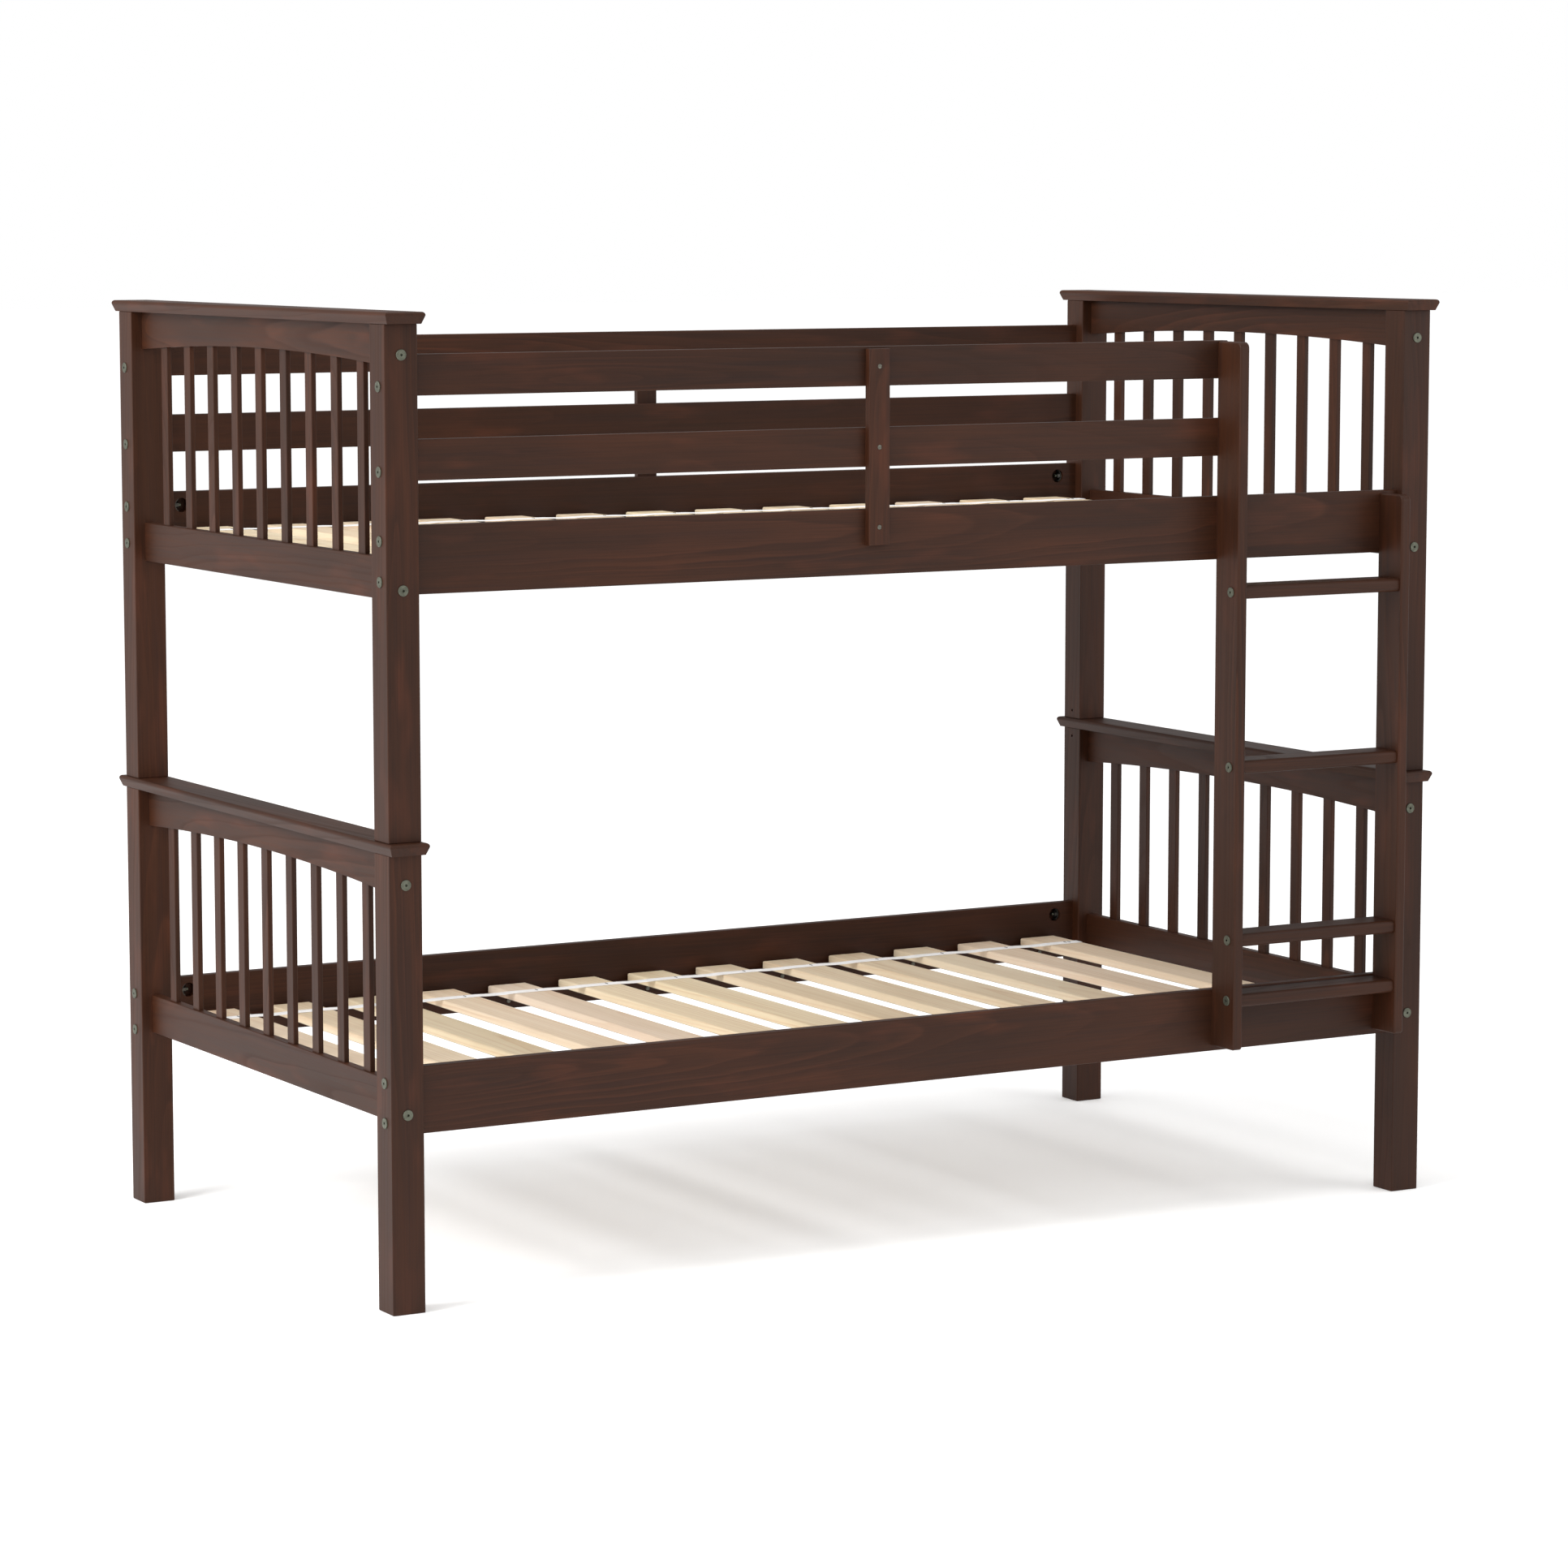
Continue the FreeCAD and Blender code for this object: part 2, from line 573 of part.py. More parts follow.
def end_top_rail(bunk, side, holes):
    x0 = end_rail_x(side)
    end_z = bunk.end_top - END_ARCH_RISE
    left_low = at(x0, -POST_IN_Y, end_z)
    left_high = at(x0, -POST_IN_Y, bunk.post_top)
    right_high = at(x0, POST_IN_Y, bunk.post_top)
    right_low = at(x0, POST_IN_Y, end_z)
    crown = at(x0, 0, bunk.end_top)
    over = Part.makePolygon([left_low, left_high, right_high, right_low])
    arch = Part.Arc(right_low, crown, left_low).toShape()
    body = Part.Face(Part.Wire(over.Edges + [arch])).extrude(X_DIR * END_RAIL_THICK)
    below = lambda y: arch_height(bunk, y) - SPINDLE_TENON
    above = lambda y: arch_height(bunk, y) + SPINDLE_TENON
    pockets = mortises(side, below, above)
    bores = end_bores(bunk, side, bunk.end_bolts[1])
    return cut_all(body, touching(holes, body) + pockets + bores)


def end_bottom_rail(bunk, side, holes):
    x0 = end_rail_x(side)
    top = bunk.end_bottom + END_BOTTOM_HEIGHT
    body = block(x0, x0 + END_RAIL_THICK, -POST_IN_Y, POST_IN_Y, bunk.end_bottom, top)
    body = rounded(body, Y_DIR, END_RAIL_EASE)
    pockets = mortises(side, lambda y: top - SPINDLE_TENON, lambda y: top + SPINDLE_TENON)
    bores = end_bores(bunk, side, bunk.end_bolts[0])
    return cut_all(body, touching(holes, body) + pockets + bores)


def spindle(bunk, side, y):
    x0 = side * POST_MID_X - SPINDLE_THICK / 2
    bottom = bunk.end_bottom + END_BOTTOM_HEIGHT - SPINDLE_TENON
    top = arch_height(bunk, y) + SPINDLE_TENON
    body = block(x0, x0 + SPINDLE_THICK, y - SPINDLE_WIDE / 2, y + SPINDLE_WIDE / 2, bottom, top)
    return body.makeChamfer(SPINDLE_EASE, edges_along(body, Z_DIR))


def ledger(bunk, face):
    half = LEDGER_LENGTH / 2
    bottom = bunk.ledger_top - LEDGER_HIGH
    body = block(-half, half, face * LEDGER_IN_Y, face * RAIL_IN_Y, bottom, bunk.ledger_top)
    inner = [e for e in edges_along(body, X_DIR) if abs(e.CenterOfMass.y - FRAME_Y) < LEDGER_IN_Y + 1]
    return body.makeFillet(LEDGER_ROUND, inner)


# ---- slats ---------------------------------------------------------------------------------------------
def slat(bunk, x):
    half = SLAT_LENGTH / 2
    bottom = bunk.slat_top - SLAT_THICK
    body = block(x - SLAT_WIDE / 2, x + SLAT_WIDE / 2, -half, half, bottom, bunk.slat_top)
    top = [edge for edge in body.Edges if edge.BoundBox.ZMin > bunk.slat_top - 1e-3]
    return body.makeFillet(SLAT_ROUND, top)


def strap(bunk, face):
    half = (SLAT_COUNT - 1) / 2 * SLAT_PITCH + SLAT_WIDE / 2 - SLAT_ROUND
    y = face * STRAP_Y
    top = bunk.slat_top + STRAP_THICK
    body = block(-half, half, y - STRAP_WIDE / 2, y + STRAP_WIDE / 2, bunk.slat_top, top)
    long_edges = [edge for edge in edges_along(body, X_DIR) if edge.CenterOfMass.z > top - 1e-3]
    return body.makeFillet(STRAP_ROUND, long_edges)


def staple_legs(bunk, x, y):
    """The two legs, down through the strap into the slat."""
    top = bunk.slat_top + STRAP_THICK
    x0 = x - STAPLE_WIRE_WIDE / 2
    x1 = x + STAPLE_WIRE_WIDE / 2
    legs = []
    for end in (-1, 1):
        outer = y + end * STAPLE_CROWN / 2
        legs.append(block(x0, x1, outer - end * STAPLE_WIRE_THICK, outer, top - STAPLE_LEG, top))
    return legs


def staple(bunk, x, y):
    top = bunk.slat_top + STRAP_THICK
    x0 = x - STAPLE_WIRE_WIDE / 2
    half = STAPLE_CROWN / 2
    crown = block(x0, x0 + STAPLE_WIRE_WIDE, y - half, y + half, top, top + STAPLE_WIRE_THICK)
    return crown.fuse(staple_legs(bunk, x, y)).removeSplitter()


def write_slat_deck(bunk):
    spots = strap_staple_spots()
    legs = []
    for x, y in spots:
        legs += staple_legs(bunk, x, y)
    reach = (SLAT_COUNT - 1) // 2
    slats = []
    for step in range(-reach, reach + 1):
        body = slat(bunk, step * SLAT_PITCH)
        slats.append(cut_all(body, touching(legs, body)))
    straps = [cut_all(body, touching(legs, body)) for body in (strap(bunk, -1), strap(bunk, 1))]
    write(bunk.name + "_slats", slats)
    write(bunk.name + "_straps", straps)
    write(bunk.name + "_staples", [staple(bunk, x, y) for x, y in spots])


# ---- ladder and battens --------------------------------------------------------------------------------
def stile(x0, top):
    body = block(x0, x0 + STILE_THICK, -RAIL_OUT_Y - STILE_DEPTH, -RAIL_OUT_Y, STILE_BOTTOM_Z, top)
    front = [edge for edge in edges_along(body, X_DIR) if edge.CenterOfMass.y < FRAME_Y - RAIL_OUT_Y - 1]
    upper = [edge for edge in front if edge.CenterOfMass.z > top - 1]
    body = body.makeFillet(STILE_TOP_ROUND, upper)
    lower = [edge for edge in edges_along(body, X_DIR) if edge.BoundBox.ZMax < STILE_BOTTOM_Z + 1e-3]
    lower = [edge for edge in lower if edge.CenterOfMass.y < FRAME_Y - RAIL_OUT_Y - 1]
    body = body.makeFillet(STILE_BOTTOM_ROUND, lower)
    outline = []
    for edge in body.Edges:
        on_back = edge.BoundBox.YMin > FRAME_Y - RAIL_OUT_Y - 1e-3
        if edge.BoundBox.XLength < 1e-3 and not on_back:
            outline.append(edge)
    return body.makeFillet(STILE_EDGE_ROUND, outline)


def ladder_stile(x0, top):
    body = stile(x0, top)
    tools = [bolt_hole(RUNG_BOLT_LENGTH, *place) for place in rung_bolt_points()]
    tools += [dowel_hole(*place) for place in rung_dowel_points()]
    tools += [screw_hole(LADDER_SCREW_LENGTH, *place) for place in ladder_screw_points()]
    return cut_all(body, touching(tools, body))


def rung(z):
    x0 = LEFT_STILE_X + STILE_THICK
    back = -RAIL_OUT_Y
    front = back - RUNG_DEPTH
    body = block(x0, RIGHT_STILE_X, front, back, z - RUNG_THICK / 2, z + RUNG_THICK / 2)
    front_edges = [e for e in edges_along(body, X_DIR) if e.CenterOfMass.y < FRAME_Y + front + 1]
    body = body.makeFillet(RUNG_FRONT_ROUND, front_edges)
    back_edges = [e for e in edges_along(body, X_DIR) if e.BoundBox.YMin > FRAME_Y + back - 1e-3]
    body = body.makeFillet(RUNG_BACK_ROUND, back_edges)
    tools = [bolt_hole(RUNG_BOLT_LENGTH, *place) for place in rung_bolt_points()]
    tools += [dowel_hole(*place) for place in rung_dowel_points()]
    return cut_all(body, touching(tools, body))


def batten(x, face):
    inner = face * RAIL_OUT_Y
    outer = face * (RAIL_OUT_Y + BATTEN_THICK)
    body = block(x - BATTEN_WIDE / 2, x + BATTEN_WIDE / 2, inner, outer, *BATTEN_Z)
    outline = [edge for edge in body.Edges if abs(edge.CenterOfMass.y - FRAME_Y - outer) < 1e-3]
    body = body.makeFillet(BATTEN_ROUND, outline)
    tools = [screw_hole(BATTEN_SCREW_LENGTH, *place) for place in batten_screw_points()]
    for point, direction in batten_screw_points():
        tools.append(rod(SCREW_HEAD + 0.4, SCREW_HEAD_THICK, point, direction * -1))
    return cut_all(body, touching(tools, body))


# ---- writing the nodes ----------------------------------------------------------------------------------
def write_frame(bunk):
    """Posts, caps, rails, spindles and ledgers of one bunk."""
    name = bunk.name
    holes = frame_holes(bunk)
    rail_holes = list(holes)
    rail_holes += [screw_hole(LEDGER_SCREW_LENGTH, *place) for place in ledger_screw_points(bunk)]
    if bunk is UPPER:
        rail_holes += [screw_hole(BATTEN_SCREW_LENGTH, *place) for place in batten_screw_points()]
        rail_holes += [screw_hole(LADDER_SCREW_LENGTH, *place) for place in ladder_screw_points()]
    for side_name, side in SIDES:
        for face_name, face in FACES:
            write(f"{name}_post_{face_name}_{side_name}", post(bunk, side, face, holes))
        write(f"{name}_cap_{side_name}", cap(bunk, side, holes))
        write(f"{name}_end_top_rail_{side_name}", end_top_rail(bunk, side, holes))
        write(f"{name}_end_bottom_rail_{side_name}", end_bottom_rail(bunk, side, holes))
        write(f"{name}_spindles_{side_name}", [spindle(bunk, side, y) for y in spindle_places()])
    ledgers = []
    for face_name, face in FACES:
        write(f"{name}_side_rail_{face_name}", side_rail(bunk, face, rail_holes))
        strip = ledger(bunk, face)
        ledgers.append(cut_all(strip, touching(rail_holes, strip)))
    write(f"{name}_ledgers", ledgers)
    if bunk is UPPER:
        for face_name, face in FACES:
            for level, z in zip(("lower", "upper"), GUARD_Z):
                write(f"{face_name}_guard_rail_{level}", guard_rail(face, z, rail_holes))


def write_frame_fasteners(bunk):
    name = bunk.name
    long_bolt = bolt(BOLT_LENGTH)
    places = rail_bolt_points(bunk) + end_bolt_points(bunk)
    write(f"{name}_frame_bolts", [placed(long_bolt, *place) for place in places])
    nuts = []
    barrels = []
    crescent = half_moon_nut()
    for _, side in SIDES:
        for _, face in FACES:
            for z in bunk.side_bolts:
                middle = at(side * (POST_IN_X - NUT_BORE_IN), face * (RAIL_IN_Y + NUT_BORE_DEPTH), z)
                nuts.append(set_nut(crescent, middle, side, face))
            for z in bunk.end_bolts:
                spot = at(side * POST_MID_X, face * (POST_IN_Y - BARREL_IN), z)
                barrels.append(set_barrel(Y_DIR, spot))
            if bunk is UPPER and not (side > 0 and face < 0):
                for z in GUARD_BOLTS:
                    spot = at(side * (POST_IN_X - BARREL_IN), face * RAIL_MID_Y, z)
                    barrels.append(set_barrel(X_DIR, spot))
    write(f"{name}_half_moon_nuts", nuts)
    write(f"{name}_barrel_nuts", barrels)
    pegs = [dowel(*place) for place in frame_dowel_points(bunk)]
    if bunk is UPPER:
        pegs += [dowel(*place) for place in rung_dowel_points()]
    write(f"{name}_dowels", pegs)
    small = screw(LEDGER_SCREW_LENGTH)
    write(f"{name}_ledger_screws", [placed(small, *place) for place in ledger_screw_points(bunk)])


def set_nut(crescent, middle, side, face):
    """Lays a half-moon nut on its pocket's floor, thick side towards the post."""
    turned = crescent.copy()
    turned.rotate(FreeCAD.Vector(0, 0, 0), X_DIR, 90 * face)
    if side < 0:
        turned.rotate(FreeCAD.Vector(0, 0, 0), Y_DIR, 180)
    turned.translate(middle)
    return turned


def set_barrel(bolt_direction, spot):
    nut = barrel_nut(bolt_direction)
    nut.translate(spot)
    return nut


def write_ladder():
    write("ladder_stile_left", ladder_stile(LEFT_STILE_X, LEFT_STILE_TOP_Z))
    write("ladder_stile_right", ladder_stile(RIGHT_STILE_X, RIGHT_STILE_TOP_Z))
    write("ladder_rungs", [rung(z) for z in RUNG_Z])
    short_bolt = bolt(RUNG_BOLT_LENGTH)
    write("rung_bolts", [placed(short_bolt, *place) for place in rung_bolt_points()])
    long_screw = screw(LADDER_SCREW_LENGTH)
    write("ladder_screws", [placed(long_screw, *place) for place in ladder_screw_points()])


def write_battens():
    write("front_batten", batten(FRONT_BATTEN_X, -1))
    write("back_batten", batten(BACK_BATTEN_X, 1))
    short_screw = screw(BATTEN_SCREW_LENGTH)
    write("batten_screws", [placed(short_screw, *place) for place in batten_screw_points()])


os.makedirs("parts", exist_ok=True)
for bed in (LOWER, UPPER):
    write_frame(bed)
    write_frame_fasteners(bed)
    write_slat_deck(bed)
write("locating_pins", [locating_pin(side, face) for _, side in SIDES for _, face in FACES])
write_ladder()
write_battens()
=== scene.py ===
import math

import bpy
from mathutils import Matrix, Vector

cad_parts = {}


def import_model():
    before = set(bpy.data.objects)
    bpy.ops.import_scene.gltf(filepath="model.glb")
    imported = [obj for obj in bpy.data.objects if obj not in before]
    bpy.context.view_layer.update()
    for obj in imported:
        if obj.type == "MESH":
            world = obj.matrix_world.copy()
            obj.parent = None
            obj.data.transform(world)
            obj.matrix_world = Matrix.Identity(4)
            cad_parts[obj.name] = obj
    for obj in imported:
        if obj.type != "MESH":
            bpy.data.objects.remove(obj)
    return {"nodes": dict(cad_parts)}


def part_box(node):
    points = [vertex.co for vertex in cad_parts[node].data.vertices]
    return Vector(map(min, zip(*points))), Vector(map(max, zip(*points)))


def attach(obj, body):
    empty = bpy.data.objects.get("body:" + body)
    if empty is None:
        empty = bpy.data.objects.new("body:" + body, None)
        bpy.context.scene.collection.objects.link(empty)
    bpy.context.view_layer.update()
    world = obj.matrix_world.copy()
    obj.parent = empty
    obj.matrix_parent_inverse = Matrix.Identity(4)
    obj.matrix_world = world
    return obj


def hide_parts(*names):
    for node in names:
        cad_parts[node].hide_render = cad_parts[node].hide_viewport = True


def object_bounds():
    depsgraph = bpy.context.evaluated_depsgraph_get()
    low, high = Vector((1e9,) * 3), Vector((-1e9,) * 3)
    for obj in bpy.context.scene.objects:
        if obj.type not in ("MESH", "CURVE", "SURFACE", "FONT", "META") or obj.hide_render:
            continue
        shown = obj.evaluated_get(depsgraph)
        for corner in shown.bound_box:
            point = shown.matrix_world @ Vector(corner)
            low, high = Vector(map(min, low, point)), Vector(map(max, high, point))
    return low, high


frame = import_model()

CAD_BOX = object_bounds()
NODES = frame["nodes"]

# The camera: far off to the front left, looking slightly down.
CAMERA_AT = (-4.2734, -7.3988, 1.7564)
CAMERA_AZIMUTH = 30.024      # degrees turned from +Y towards +X
CAMERA_DOWN = 6.794          # degrees looking down
CAMERA_LENS = 111.8          # mm, on the sensor below
CAMERA_SENSOR = 36.0
CAMERA_CLIP = 100.0

# The slat decks and their straps, in metres.
SLAT_PITCH = 0.145
SLAT_HALF = 0.038            # half of a slat's width
EDGE_SHADE_HEIGHT = 0.0013           # height of the painted shade line along a slat's lower edge
STAPLE_OFFSET = 0.012        # from a slat's centre line
STAPLE_REACH = 0.006         # how far along the strap a staple pulls it in
STAPLE_PINCH = 0.0002        # how deep it presses
STAPLE_NARROWS = 0.03        # share by which it narrows the strap
STRAP_WIDE = 0.025
STRAP_SAG = 0.00084          # halfway between two slats
STRAP_STEP = 0.0045          # length of one mesh row
STRAP_COLUMNS = 10
SELVEDGE = 0.14              # share of the half width that thins towards the edge
SELVEDGE_TOP = 0.0006        # how much it thins from above
SELVEDGE_UNDER = 0.0003      # and from below
RIB = 0.00008                # height of the lengthwise ribs
RIB_ROOM = 0.00012           # keeps the ribs under the strap's nominal top
WARP_PITCH = 0.0022
WEFT_PITCH = 0.0030

# The studio.
FLOOR_REACH = 70.0           # half of the floor's side
FLOOR_BELOW = 0.0005         # gap under the feet
FLOOR_GLOW = 0.19            # the floor is a faint light table, so that it reads as white
SCREEN_LIGHT = 0.50          # brightness of the screen behind the object, against 1 for the white studio


# ---- small helpers for node trees ------------------------------------------------------------
class Tree:
    """A material's node tree, with short calls for the nodes used here."""

    def __init__(self, name):
        self.material = bpy.data.materials.new(name)
        self.material.use_nodes = True
        self.nodes = self.material.node_tree.nodes
        self.links = self.material.node_tree.links
        self.nodes.clear()
        out = self.nodes.new("ShaderNodeOutputMaterial")
        self.shader = self.nodes.new("ShaderNodeBsdfPrincipled")
        self.links.new(self.shader.outputs[0], out.inputs["Surface"])

    def put(self, socket, value):
        if isinstance(value, bpy.types.NodeSocket):
            self.links.new(value, socket)
        else:
            socket.default_value = value

    def position(self):
        return self.nodes.new("ShaderNodeTexCoord").outputs["Object"]

    def math(self, operation, a, b=0.0, c=0.0):
        node = self.nodes.new("ShaderNodeMath")
        node.operation = operation
        for socket, value in zip(node.inputs, (a, b, c)):
            self.put(socket, value)
        return node.outputs[0]

    def split(self, vector):
        node = self.nodes.new("ShaderNodeSeparateXYZ")
        self.put(node.inputs[0], vector)
        return node.outputs

    def join(self, x, y, z):
        node = self.nodes.new("ShaderNodeCombineXYZ")
        for socket, value in zip(node.inputs, (x, y, z)):
            self.put(socket, value)
        return node.outputs[0]

    def vector(self, operation, a, b=(0.0, 0.0, 0.0)):
        node = self.nodes.new("ShaderNodeVectorMath")
        node.operation = operation
        self.put(node.inputs[0], a)
        self.put(node.inputs[1], b)
        return node.outputs["Value" if operation == "LENGTH" else "Vector"]

    def noise(self, vector, scale, detail=3.0, roughness=0.55, colour=False):
        node = self.nodes.new("ShaderNodeTexNoise")
        self.put(node.inputs["Vector"], vector)
        node.inputs["Scale"].default_value = scale
        node.inputs["Detail"].default_value = detail
        node.inputs["Roughness"].default_value = roughness
        return node.outputs["Color" if colour else "Fac"]

    def random_vector(self, value):
        node = self.nodes.new("ShaderNodeTexWhiteNoise")
        node.noise_dimensions = "1D"
        self.put(node.inputs["W"], value)
        return node.outputs["Color"]

    def ramp(self, factor, stops, smooth=False):
        node = self.nodes.new("ShaderNodeValToRGB")
        ramp = node.color_ramp
        ramp.interpolation = "EASE" if smooth else "LINEAR"
        while len(ramp.elements) < len(stops):
            ramp.elements.new(0.5)
        for element, (place, colour) in zip(ramp.elements, stops):
            element.position = place
            element.color = (*colour, 1.0)
        self.put(node.inputs[0], factor)
        return node.outputs[0]

    def grey_ramp(self, factor, stops, smooth=False):
        return self.ramp(factor, [(place, (value,) * 3) for place, value in stops], smooth)

    def mix(self, factor, a, b, blend="MIX"):
        node = self.nodes.new("ShaderNodeMix")
        node.data_type = "RGBA"
        node.blend_type = blend
        node.clamp_factor = True
        self.put(node.inputs["Factor"], factor)
        for socket, value in ((node.inputs[6], a), (node.inputs[7], b)):
            if isinstance(value, tuple):
                value = (*value, 1.0)
            self.put(socket, value)
        return node.outputs[2]

    def remap(self, value, low, high, to_low, to_high):
        node = self.nodes.new("ShaderNodeMapRange")
        for socket, number in zip(node.inputs, (value, low, high, to_low, to_high)):
            self.put(socket, number)
        return node.outputs[0]

    def bump(self, height, strength, distance):
        node = self.nodes.new("ShaderNodeBump")
        node.inputs["Strength"].default_value = strength
        node.inputs["Distance"].default_value = distance
        self.put(node.inputs["Height"], height)
        return node.outputs[0]

    def set(self, **values):
        for name, value in values.items():
            self.put(self.shader.inputs[name.replace("_", " ")], value)
        return self.material


# ---- wood ---------------------------------------------------------------------------------------
# How the boards lie: the axis their grain runs along, their wide side and their thin side, and for a
# node that holds a row of boards the axis and the pitch of the row.
BOARDS = (
    ("cap_", "YXZ", None, 0.0),
    ("end_", "YZX", None, 0.0),
    ("side_rail", "XZY", None, 0.0),
    ("guard_rail", "XZY", None, 0.0),
    ("ledgers", "XZY", "Y", 0.25),
    ("rungs", "XYZ", "Z", 0.13),
    ("slats", "YXZ", "X", SLAT_PITCH),
    ("spindles", "ZYX", "Y", 0.099),
    ("stile", "ZYX", None, 0.0),
    ("batten", "ZXY", None, 0.0),
    ("post", "ZXY", None, 0.0),
    ("dowels", "XYZ", None, 0.0),
)

SMALL_WANDER = 0.006         # how far small waves push a ring sideways
HEART_NEAR = 0.016           # least depth of the trunk's heart under a board's middle
YEARS_PER_METRE = 60.0       # how quickly wide and narrow years follow each other
UNEVEN_YEARS = 2.6           # in ring spacings


class Board:
    """Coordinates of a board from its own middle, with three random numbers that are fixed for it."""

    def __init__(self, tree, node, seed):
        axes, pitch_axis, pitch = next(row[1:] for row in BOARDS if row[0] in node)
        low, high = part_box(node)
        middle = [(a + b) / 2 for a, b in zip(low, high)]
        place = dict(zip("XYZ", tree.split(tree.position())))
        lane = float(seed)
        for axis, centre in zip("XYZ", middle):
            place[axis] = tree.math("SUBTRACT", place[axis], float(centre))
        if pitch_axis is not None:
            step = tree.math("ROUND", tree.math("DIVIDE", place[pitch_axis], pitch))
            lane = tree.math("ADD", step, float(seed))
            place[pitch_axis] = tree.math("MULTIPLY_ADD", step, -pitch, place[pitch_axis])
        self.tree = tree
        self.along, self.wide, self.thin = (place[axis] for axis in axes)
        self.chance = tree.split(tree.random_vector(lane))
        self.moved = tree.join(
            tree.math("MULTIPLY_ADD", self.chance[0], 9.0, self.along),
            tree.math("MULTIPLY_ADD", self.chance[1], 5.0, self.wide),
            tree.math("MULTIPLY_ADD", self.chance[2], 5.0, self.thin),
        )

    def noise(self, along, across, detail=2.0, roughness=0.55, colour=False):
        """Noise drawn out along the grain; the two numbers are features per metre."""
        stretched = self.tree.vector("MULTIPLY", self.moved, (along, across, across))
        return self.tree.noise(stretched, 1.0, detail=detail, roughness=roughness, colour=colour)

    def rings(self, spacing, tilt, wander, heart_side, heart_depth):
        """Growth rings cut by the board, 0 to 1 across each.  The trunk's axis is tilted, so they arch.

        The heart of the trunk lies up to heart_side / 2 to either side of the board's middle, and
        HEART_NEAR to HEART_NEAR + heart_depth below it.
        """
        tree = self.tree
        slow = tree.split(self.noise(1.7, 5.0, colour=True))
        small = tree.split(self.noise(9.0, 45.0, detail=1.0, colour=True))
        side = tree.math("MULTIPLY_ADD", self.chance[0], heart_side, -heart_side / 2)
        wide = tree.math("ADD", self.wide, side)
        wide = tree.math("MULTIPLY_ADD", slow[0], wander, wide)
        wide = tree.math("MULTIPLY_ADD", small[0], SMALL_WANDER, wide)
        depth = tree.math("MULTIPLY_ADD", self.chance[1], heart_depth, HEART_NEAR)
        lean = tree.math("MULTIPLY_ADD", self.chance[2], tilt, tilt * 0.5)
        thin = tree.math("ADD", self.thin, depth)
        thin = tree.math("MULTIPLY_ADD", slow[1], wander, thin)
        thin = tree.math("ADD", thin, tree.math("MULTIPLY", self.along, lean))
        radius = tree.vector("LENGTH", tree.join(wide, thin, 0.0))
        year = tree.join(tree.math("MULTIPLY", radius, YEARS_PER_METRE), self.chance[2], 0.0)
        years = tree.noise(year, 1.0, detail=1.0)
        radius = tree.math("MULTIPLY_ADD", years, spacing * UNEVEN_YEARS, radius)
        return tree.math("FRACT", tree.math("DIVIDE", radius, spacing))

    def knots(self, every, size):
        """Knots: 1 at the heart of one, 0 away from them."""
        tree = self.tree
        node = tree.nodes.new("ShaderNodeTexVoronoi")
        node.inputs["Scale"].default_value = 1.0
        squeezed = tree.vector("MULTIPLY", self.moved, (1 / every, 1.8 / every, 1.1 / every))
        tree.put(node.inputs["Vector"], squeezed)
        return tree.remap(node.outputs["Distance"], size * 0.3, size, 1.0, 0.0)


# Colours are linear.  The stops of a ramp are pairs of place and value.
STAIN_GROUND = [
    (0.30, (0.0262, 0.0089, 0.0036)),
    (0.50, (0.0316, 0.0101, 0.0039)),
    (0.72, (0.0412, 0.0125, 0.0044)),
]
STAIN_STREAK = (0.0200, 0.0080, 0.0054)
STAIN_EARLY = (0.0150, 0.0060, 0.0042)
STAIN_LATE = (0.0690, 0.0210, 0.0085)
STAIN_PATCH = (0.0740, 0.0205, 0.0085)
STAIN_KNOT = (0.0130, 0.0052, 0.0036)
STAIN_LATE_STOPS = [(0.0, 0.85), (0.05, 0.10), (0.55, 0.0), (0.88, 0.55), (1.0, 1.0)]
STAIN_EARLY_STOPS = [(0.02, 0.0), (0.09, 1.0), (0.40, 0.0)]
STAIN_TONE_STOPS = [(0.30, 0.80), (0.50, 1.0), (0.72, 1.16)]
SEED_STEP = 40               # between one node's seed and the next: more than the boards in a row
NARROW_BOARDS = ("spindles", "batten", "ledgers", "rungs")
NARROW_RING = 0.0070
WIDE_RING = 0.0125

PINE_GROUND = [
    (0.30, (0.660, 0.545, 0.400)),
    (0.52, (0.715, 0.600, 0.455)),
    (0.74, (0.745, 0.640, 0.505)),
]
PINE_STREAK = (0.640, 0.500, 0.350)
PINE_LATE = (0.590, 0.410, 0.265)
PINE_KNOT = (0.330, 0.180, 0.090)
# painted shade: the colour of the dark line along a slat's lower edge
PINE_EDGE_SHADE = (0.150, 0.115, 0.085)
PINE_LATE_STOPS = [(0.0, 0.80), (0.06, 0.05), (0.50, 0.0), (0.85, 0.60), (1.0, 1.0)]
PINE_TONE_STOPS = [(0.30, 0.95), (0.50, 1.0), (0.72, 1.04)]
PINE_RING = 0.0085


